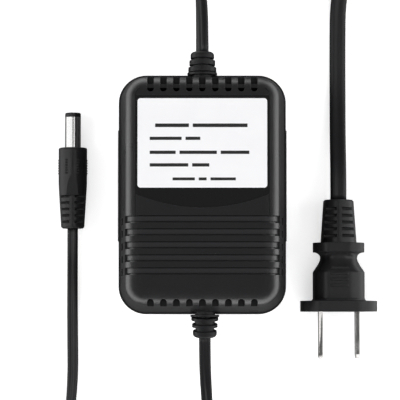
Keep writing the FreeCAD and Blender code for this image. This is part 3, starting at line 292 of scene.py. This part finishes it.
def within(tree, value, low, high):
    """One where a value lies between two numbers, else nought."""
    return product(tree, math_node(tree, "GREATER_THAN", value, low),
                   math_node(tree, "LESS_THAN", value, high))


def seen(tree, *kinds):
    """One for rays of any of these kinds, nought for the rest."""
    rays = add_node(tree, "ShaderNodeLightPath")
    result = rays.outputs[kinds[0]]
    for kind in kinds[1:]:
        result = math_node(tree, "MAXIMUM", result, rays.outputs[kind])
    return result


def vary(tree, source, low, high, socket):
    """Spread a noise between two values and send it to a socket."""
    spread = add_node(tree, "ShaderNodeMapRange", From_Min=NOISE_RANGE[0], From_Max=NOISE_RANGE[1],
                      To_Min=low, To_Max=high)
    tree.links.new(source, spread.inputs["Value"])
    tree.links.new(spread.outputs["Result"], socket)


def tint(tree, source, dark, light, socket):
    """Send a colour to a socket: dark where the source is nought, light where it is one."""
    mix = add_node(tree, "ShaderNodeMix", {"data_type": "RGBA"})
    mix.inputs["A"].default_value = (*dark, 1)
    mix.inputs["B"].default_value = (*light, 1)
    tree.links.new(source, mix.inputs["Factor"])
    tree.links.new(mix.outputs["Result"], socket)


def lay_over(tree, mask, other, socket):
    """Send another value or colour to a linked socket wherever the mask is one."""
    is_colour = isinstance(other, tuple)
    mix = add_node(tree, "ShaderNodeMix", {"data_type": "RGBA" if is_colour else "FLOAT"})
    mix.inputs["B"].default_value = (*other, 1) if is_colour else other
    tree.links.new(socket.links[0].from_socket, mix.inputs["A"])
    tree.links.new(mask, mix.inputs["Factor"])
    tree.links.new(mix.outputs["Result"], socket)


def relief_bump(tree, shader, source, depth, edge=0.0):
    """Relief of a depth in millimetres, over edges softened by a small radius or over the
    relief that the shader has already."""
    normal = shader.inputs["Normal"]
    bump = add_node(tree, "ShaderNodeBump", Strength=1.0, Distance=depth * MM)
    tree.links.new(source, bump.inputs["Height"])
    if edge:
        bevel = add_node(tree, "ShaderNodeBevel", {"samples": EDGE_SAMPLES}, Radius=edge * MM)
        tree.links.new(bevel.outputs["Normal"], bump.inputs["Normal"])
    elif normal.links:
        tree.links.new(normal.links[0].from_socket, bump.inputs["Normal"])
    tree.links.new(bump.outputs["Normal"], normal)


# Materials

def moulded(name, dark, light, roughness, grain, depth, edge=0.0, specular=0.5):
    """Moulded plastic or rubber: fine grain, slow changes of tone and of polish."""
    material, tree, shader = new_material(name)
    shader.inputs["Specular IOR Level"].default_value = specular
    patches = noise(tree, PATCH_SIZE, GRAIN_DETAIL)
    tint(tree, patches, dark, light, shader.inputs["Base Color"])
    vary(tree, patches, roughness + MOULDED_POLISH[0], roughness + MOULDED_POLISH[1],
         shader.inputs["Roughness"])
    relief_bump(tree, shader, noise(tree, grain, GRAIN_DETAIL), depth, edge)
    return material


def metal(name, dark, light, roughness, stretch=(1, 1, 1), grain=0.3, depth=0.002, edge=0.0,
          waves=0.0):
    """Plated or rolled metal with faint drawn marks."""
    material, tree, shader = new_material(name)
    shader.inputs["Metallic"].default_value = 1.0
    marks = noise(tree, grain, GRAIN_DETAIL, stretch)
    tint(tree, marks, dark, light, shader.inputs["Base Color"])
    vary(tree, marks, roughness + METAL_POLISH[0], roughness + METAL_POLISH[1],
         shader.inputs["Roughness"])
    relief_bump(tree, shader, marks, depth, edge)
    if waves:
        relief_bump(tree, shader, noise(tree, WAVE_SIZE, 0.0, WAVE_STRETCH), waves)
    return material


def case_plastic():
    """Textured moulding: a polished label recess and lighter bands, with painted shade on both."""
    material = moulded("case_plastic", (0.0075, 0.0075, 0.0085), (0.0115, 0.0115, 0.0125),
                       roughness=0.31, grain=0.45, depth=0.035, edge=0.22, specular=1.0)
    tree = material.node_tree
    shader = tree.nodes["Principled BSDF"]
    point = axes(tree)

    # Bands are counted downwards from the first, and each takes up the first part of its step
    along = math_node(tree, "SUBTRACT", BAND_FIRST * MM, point["Y"])
    steps = math_node(tree, "DIVIDE", along, BAND_PITCH * MM)
    into_step = math_node(tree, "FRACT", steps)
    band = product(tree, math_node(tree, "LESS_THAN", into_step, BAND_WIDTH / BAND_PITCH),
                   within(tree, steps, 0.0, float(BAND_COUNT)),
                   math_node(tree, "GREATER_THAN", point["Z"], BAND_LOW * MM))
    # The edge mask paints a dark line of shade along each band's upper edge, where its step would
    # shade it
    edge = product(tree, band, math_node(tree, "LESS_THAN", into_step, BAND_EDGE / BAND_PITCH))

    off_middle = math_node(tree, "ABSOLUTE", point["X"])
    recess = product(tree,
                     within(tree, point["Z"], RECESS_HEIGHTS[0] * MM, RECESS_HEIGHTS[1] * MM),
                     math_node(tree, "LESS_THAN", off_middle, RECESS_REACH * MM),
                     within(tree, point["Y"], BAND_FIRST * MM, RECESS_END * MM))
    # Laid over the moulding: the recess's polish and painted shade, the bands' finish, and the
    # bands' lines of painted shade
    for mask, roughness, colour in ((recess, RECESS_ROUGHNESS, RECESS_PAINTED_SHADE),
                                    (band, BAND_ROUGHNESS, BAND_COLOUR),
                                    (edge, EDGE_ROUGHNESS, BAND_EDGE_PAINTED_SHADE)):
        lay_over(tree, mask, roughness, shader.inputs["Roughness"])
        lay_over(tree, mask, colour, shader.inputs["Base Color"])
    return material


def layered_steel():
    """Stacked core sheets: dark varnished edges in lines one sheet apart."""
    material, tree, shader = new_material("core_sheets")
    shader.inputs["Metallic"].default_value = 0.7
    turns = math_node(tree, "MULTIPLY", axes(tree)["Z"], 2 * math.pi / (SHEET_PITCH * MM))
    lines = math_node(tree, "SINE", turns)
    tint(tree, lines, (0.03, 0.028, 0.026), (0.14, 0.13, 0.12), shader.inputs["Base Color"])
    vary(tree, noise(tree, 1.5), 0.4, 0.6, shader.inputs["Roughness"])
    relief_bump(tree, shader, lines, 0.03)
    return material


def paint_nodes():
    """Give every CAD node the finish of what it is made of."""
    case = case_plastic()
    rubber = moulded("relief_rubber", (0.007, 0.007, 0.008), (0.010, 0.010, 0.011),
                     roughness=0.42, grain=0.25, depth=0.008, edge=0.25)
    plug = moulded("plug_rubber", (0.009, 0.009, 0.010), (0.012, 0.012, 0.013),
                   roughness=0.33, grain=0.25, depth=0.010, edge=0.3)
    paper = moulded("label_paper", (0.90, 0.90, 0.92), (0.95, 0.95, 0.96),
                    roughness=0.5, grain=0.5, depth=0.002)
    nickel = metal("nickel", (0.60, 0.59, 0.58), (0.72, 0.71, 0.70),
                   roughness=0.14, stretch=(1, 0.05, 1), edge=0.4, waves=1.2)
    barrel = metal("barrel_nickel", (0.74, 0.74, 0.74), (0.84, 0.84, 0.83),
                   roughness=0.16, stretch=(0.1, 1, 0.1), edge=0.1)
    zinc = metal("screw_zinc", (0.40, 0.40, 0.40), (0.50, 0.50, 0.48), roughness=0.35, edge=0.15)
    tin = metal("tin", (0.60, 0.60, 0.58), (0.68, 0.68, 0.66), roughness=0.3)
    copper = metal("copper", (0.55, 0.20, 0.08), (0.68, 0.28, 0.12),
                   roughness=0.3, stretch=(1, 8, 1), grain=0.4, depth=0.03)
    nylon = moulded("bobbin_nylon", (0.50, 0.46, 0.36), (0.58, 0.54, 0.44),
                    roughness=0.45, grain=0.4, depth=0.01, edge=0.2)
    tape = moulded("winding_tape", (0.60, 0.42, 0.06), (0.70, 0.50, 0.09),
                   roughness=0.3, grain=1.2, depth=0.02)
    gloss = moulded("insulator_plastic", (0.006, 0.006, 0.006), (0.009, 0.009, 0.009),
                    roughness=0.25, grain=0.3, depth=0.004, edge=0.15)
    black_lead = moulded("lead_black", (0.008, 0.008, 0.008), (0.012, 0.012, 0.012),
                         roughness=0.45, grain=0.3, depth=0.005)
    white_lead = moulded("lead_white", (0.60, 0.60, 0.57), (0.68, 0.68, 0.65),
                         roughness=0.45, grain=0.3, depth=0.005)
    sheets = layered_steel()
    finishes = {
        case: ["top_case", "bottom_case"],
        rubber: ["input_strain_relief", "output_strain_relief"],
        plug: ["mains_plug_body", "dc_plug_handle"],
        paper: ["rating_label"],
        nickel: ["blade_left", "blade_right"],
        barrel: ["barrel_sleeve", "center_contact", "thermal_fuse"],
        zinc: ["case_screws"],
        tin: ["terminal_pins"],
        copper: ["primary_winding", "secondary_winding"],
        nylon: ["bobbin"],
        tape: ["primary_tape", "secondary_tape"],
        gloss: ["barrel_insulator", "mains_plug_insert"],
        black_lead: ["live_lead", "output_lead_a", "plug_wire_left", "dc_wire_sleeve"],
        white_lead: ["neutral_lead", "output_lead_b", "plug_wire_right", "dc_wire_tip"],
        sheets: ["core_e_stack", "core_i_stack"],
    }
    for finish, names in finishes.items():
        for name in names:
            slots = NODES[name].data.materials
            slots.clear()
            slots.append(finish)


# Camera

def make_camera():
    data = bpy.data.cameras.new("camera")
    data.sensor_width = SENSOR_WIDTH
    data.lens = SENSOR_WIDTH * VIEW_DISTANCE / VIEW_WIDTH
    camera = bpy.data.objects.new("camera", data)
    away = Vector((0, -math.sin(VIEW_TILT), math.cos(VIEW_TILT)))
    camera.location = VIEW_TARGET + away * VIEW_DISTANCE
    camera.rotation_euler = (VIEW_TILT, 0, 0)
    bpy.context.scene.collection.objects.link(camera)
    bpy.context.scene.camera = camera


# Cords

def relief_exit(droop, reach, across, way, run):
    """A point this far out along a relief's axis, and a second one straight on from it."""
    angle = math.radians(droop)
    heading = Vector((0, way * math.cos(angle), -math.sin(angle)))
    root = Vector((across, way * CASE_LENGTH / 2, SEAM_HEIGHT))
    tip = root + heading * reach
    return [tip, tip + heading * run]


def steps_taken(turn, turns, part):
    """How many of these turns' steps are done, where each takes the same part of its turn."""
    return sum(ease(turn, first + part[0], first + part[1]) for first in turns)


def coil_points(centre, inner, pitch, start, levels):
    """Clockwise turns: inwards in the upper layer, down at the middle, outwards below."""
    high, low = levels
    points = []
    for index in range(1, round(COIL_TURNS * POINTS_PER_TURN)):
        turn = index / POINTS_PER_TURN
        inwards = steps_taken(turn, INWARD_TURNS, STEP_IN)
        outwards = steps_taken(turn, OUTWARD_TURNS, STEP_OUT)
        fall = steps_taken(turn, DOWNWARD_TURNS, STEP_DOWN)
        column = COIL_COLUMNS - 1 - inwards + outwards
        radius = (inner + pitch * column) / math.cos(math.pi / POINTS_PER_TURN)
        angle = start - 2 * math.pi * turn
        points.append(Vector((centre[0] + radius * math.cos(angle),
                              centre[1] + radius * math.sin(angle),
                              high + (low - high) * fall)))
    return points


def smooth_path(name, points):
    """Points along the smooth line that the route's points control, in metres."""
    curve = bpy.data.curves.new(name, "CURVE")
    curve.dimensions = "3D"
    curve.resolution_u = PATH_RESOLUTION
    spline = curve.splines.new("NURBS")
    spline.points.add(len(points) - 1)
    for control, point in zip(spline.points, points):
        control.co = (*(point * MM), 1)
    spline.order_u = PATH_ORDER
    spline.use_endpoint_u = True
    guide = bpy.data.objects.new(name, curve)
    bpy.context.scene.collection.objects.link(guide)
    line = bpy.data.meshes.new_from_object(guide)
    path = [vertex.co.copy() for vertex in line.vertices]
    bpy.data.objects.remove(guide)
    return path


def spread_twist(path, points, twists):
    """The twist at every point of the path, from one at each point of the route."""
    marks = []
    nearest = 0
    for point, twist in zip(points, twists):
        target = point * MM
        window = range(nearest, min(nearest + SEARCH_AHEAD, len(path)))
        nearest = min(window, key=lambda index: (path[index] - target).length)
        marks.append((nearest, twist))
    marks[-1] = (len(path) - 1, twists[-1])
    result = []
    for (start, first), (end, second) in zip(marks, marks[1:]):
        for index in range(start, end):
            result.append(first + (second - first) * (index - start) / (end - start))
    return result + [twists[-1]]


def twin_section(width, thickness, valley):
    """Outline of a flat twin cord: round edges, and a shallow valley along both faces."""
    radius = thickness / 2
    middle = width / 2 - radius
    half = []
    for index in range(SECTION_SEGMENTS + 1):
        angle = -math.pi / 2 + math.pi * index / SECTION_SEGMENTS
        half.append((middle + radius * math.cos(angle), radius * math.sin(angle)))
    top = []
    for index in range(1, SECTION_SEGMENTS):
        across = middle * (1 - 2 * index / SECTION_SEGMENTS)
        dip = valley * (math.cos(math.pi * across / middle) + 1) / 2
        top.append((across, radius - dip))
    right_and_top = half + top
    return right_and_top + [(-x, -y) for x, y in right_and_top]


def tube(name, path, twists, section):
    """A closed tube along a path: the section's width lies level where the twist is nought."""
    vertices, faces = [], []
    for index, (point, twist) in enumerate(zip(path, twists)):
        ahead = path[min(index + 1, len(path) - 1)] - path[max(index - 1, 0)]
        side = ahead.cross(Vector((0, 0, 1))).normalized()
        up = side.cross(ahead).normalized()
        turn = math.radians(twist)
        wide = side * math.cos(turn) + up * math.sin(turn)
        thick = up * math.cos(turn) - side * math.sin(turn)
        vertices += [point + (wide * x + thick * y) * MM for x, y in section]
    count = len(section)
    for ring in range(len(path) - 1):
        for index in range(count):
            following = (index + 1) % count
            first, second = ring * count, (ring + 1) * count
            faces.append((first + index, first + following, second + following, second + index))
    faces.append(tuple(reversed(range(count))))
    last = (len(path) - 1) * count
    faces.append(tuple(range(last, last + count)))
    return mesh_object(name, vertices, faces)


def lay_cord(name, case_run, case_twist, turns, plug_run, plug_twist, section):
    """A cord from the case through its coil to its plug, and the path along its middle."""
    points = case_run + turns + [Vector(point) for point in reversed(plug_run)]
    twists = case_twist + [COIL_TWIST] * len(turns) + plug_twist[::-1]
    path = smooth_path(name + "_line", points)
    cord = tube(name, path, spread_twist(path, points, twists), section)
    cord.data.materials.append(moulded(name + "_jacket", (0.006, 0.006, 0.007),
                                       (0.009, 0.009, 0.010), roughness=0.36, grain=0.35,
                                       depth=0.006))
    place(cord)
    return cord, path


def make_mains_cord():
    case_run = relief_exit(MAINS_DROOP, MAINS_REACH - CORD_TUCK, 0, 1, MAINS_STRAIGHT + CORD_TUCK)
    case_run += [Vector(point) for point in MAINS_CASE_RUN]
    turns = coil_points(MAINS_COIL_CENTRE, MAINS_COIL_INNER, MAINS_COIL_PITCH, math.pi,
                        MAINS_COIL_LEVELS)
    cord, path = lay_cord("mains_cord", case_run, MAINS_CASE_TWIST, turns, MAINS_PLUG_RUN,
                          MAINS_PLUG_TWIST,
                          twin_section(MAINS_WIDTH, MAINS_THICKNESS, MAINS_VALLEY))
    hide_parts("mains_cord_body_run", "mains_cord_coil", "mains_cord_plug_run")
    return cord


def make_output_cord():
    case_run = relief_exit(OUTPUT_DROOP, OUTPUT_REACH - CORD_TUCK, OUTPUT_EXIT, -1,
                           OUTPUT_STRAIGHT + CORD_TUCK)
    case_run += [Vector(point) for point in OUTPUT_CASE_RUN]
    turns = coil_points(OUTPUT_COIL_CENTRE, OUTPUT_COIL_INNER, OUTPUT_COIL_PITCH, 0,
                        OUTPUT_COIL_LEVELS)
    cord, path = lay_cord("output_cord", case_run, OUTPUT_CASE_TWIST, turns, OUTPUT_PLUG_RUN,
                          OUTPUT_PLUG_TWIST,
                          twin_section(OUTPUT_WIDTH, OUTPUT_THICKNESS, OUTPUT_VALLEY))
    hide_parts("output_cord_body_run", "output_cord_coil", "output_cord_plug_run")
    return cord


# Label print

def make_print():
    """Plain bars where the label's rows are."""
    vertices, faces = [], []
    label_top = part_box("rating_label")[1][2] / MM
    for row in LABEL_ROWS:
        left = row["left"]
        middle = row["top"] - row["height"] / 2
        half = row["height"] * BAR_SHARE / 2
        for width in row["words"]:
            start = len(vertices)
            for level in (label_top, label_top + PRINT_THICKNESS):
                vertices += [Vector((left, middle - half, level)) * MM,
                             Vector((left + width, middle - half, level)) * MM,
                             Vector((left + width, middle + half, level)) * MM,
                             Vector((left, middle + half, level)) * MM]
            faces += [tuple(start + corner for corner in side) for side in BOX_SIDES]
            left += width + WORD_GAP
    bars = mesh_object("label_print", vertices, faces, smooth=False)
    bars.data.materials.append(moulded("label_ink", (0.02, 0.02, 0.02), (0.03, 0.03, 0.03),
                                       roughness=0.5, grain=0.4, depth=0.002))
    place(bars)


# Floor, light and world

def beyond_shade(tree):
    """Nought beside the case, rising to one where the floor is out of its shade."""
    point = axes(tree)
    gaps = [math_node(tree, "SUBTRACT", math_node(tree, "ABSOLUTE", point[axis]), half * MM)
            for axis, half in zip("XY", CASE_HALF)]
    spread = add_node(tree, "ShaderNodeMapRange", {"interpolation_type": "SMOOTHSTEP"},
                      From_Min=SHADE_INNER * MM, From_Max=SHADE_OUTER * MM)
    tree.links.new(math_node(tree, "MAXIMUM", *gaps), spread.inputs["Value"])
    return spread.outputs["Result"]


def make_floor():
    corners = ((-1, -1), (1, -1), (1, 1), (-1, 1))
    floor = mesh_object("floor", [Vector((x * FLOOR_HALF, y * FLOOR_HALF, FLOOR_LEVEL))
                                  for x, y in corners], [(0, 1, 2, 3)])
    material, tree, shader = new_material("floor_white")
    shader.inputs["Roughness"].default_value = FLOOR_ROUGHNESS
    shader.inputs["Specular IOR Level"].default_value = FLOOR_SPECULAR
    mirror = seen(tree, "Is Glossy Ray", "Is Transmission Ray")
    far = beyond_shade(tree)
    shaded = product(tree, mirror, math_node(tree, "SUBTRACT", 1.0, far))
    tint(tree, shaded, FLOOR_COLOUR, SHADE_COLOUR, shader.inputs["Base Color"])
    viewed = product(tree, seen(tree, "Is Camera Ray"), FLOOR_GLOW)
    mirrored = product(tree, mirror, far, FLOOR_MIRRORED)
    shader.inputs["Emission Color"].default_value = (1, 1, 1, 1)
    tree.links.new(math_node(tree, "ADD", viewed, mirrored), shader.inputs["Emission Strength"])
    floor.data.materials.append(material)


def softbox(name, position, size, power, glossy=False):
    """A rectangular light that faces the object."""
    data = bpy.data.lights.new(name, "AREA")
    data.shape = "RECTANGLE"
    data.size, data.size_y = size
    data.energy = power
    lamp = bpy.data.objects.new(name, data)
    lamp.location = Vector(position)
    lamp.rotation_euler = (-Vector(position)).to_track_quat("-Z", "Y").to_euler()
    lamp.visible_glossy = glossy
    bpy.context.scene.collection.objects.link(lamp)
    return lamp


def make_light(cords):
    for name, (position, size, power) in SOFTBOXES.items():
        softbox(name, position, size, power)
    beside = bpy.data.collections.new("beside_the_case")
    for piece in [NODES[name] for name in SIDE_NODES] + cords:
        beside.objects.link(piece)
    for name, (position, size, power) in SIDE_BOXES.items():
        lamp = softbox(name, position, size, power, glossy=True)
        lamp.light_linking.receiver_collection = beside


def make_world():
    """A dim room that is white where the camera looks and, in reflections, near the horizon."""
    world = bpy.data.worlds.new("studio")
    bpy.context.scene.world = world
    world.use_nodes = True
    tree = world.node_tree
    background = tree.nodes["Background"]
    background.inputs["Color"].default_value = (1, 1, 1, 1)
    wall = add_node(tree, "ShaderNodeMapRange", From_Min=HORIZON[0], From_Max=HORIZON[1],
                    To_Min=1.0, To_Max=ROOM_ABOVE)
    tree.links.new(axes(tree, "Generated")["Z"], wall.inputs["Value"])
    mirrored = seen(tree, "Is Glossy Ray", "Is Transmission Ray")
    unmirrored = math_node(tree, "SUBTRACT", 1.0, mirrored)
    indirect = math_node(tree, "ADD", product(tree, mirrored, wall.outputs["Result"]),
                         product(tree, unmirrored, ROOM_LIGHT))
    strength = math_node(tree, "MAXIMUM", seen(tree, "Is Camera Ray"), indirect)
    tree.links.new(strength, background.inputs["Strength"])


# The whole scene

make_camera()
cords = [make_mains_cord(), make_output_cord()]
paint_nodes()
make_print()
make_floor()
make_light(cords)
make_world()
bpy.context.scene.view_settings.view_transform = "Standard"
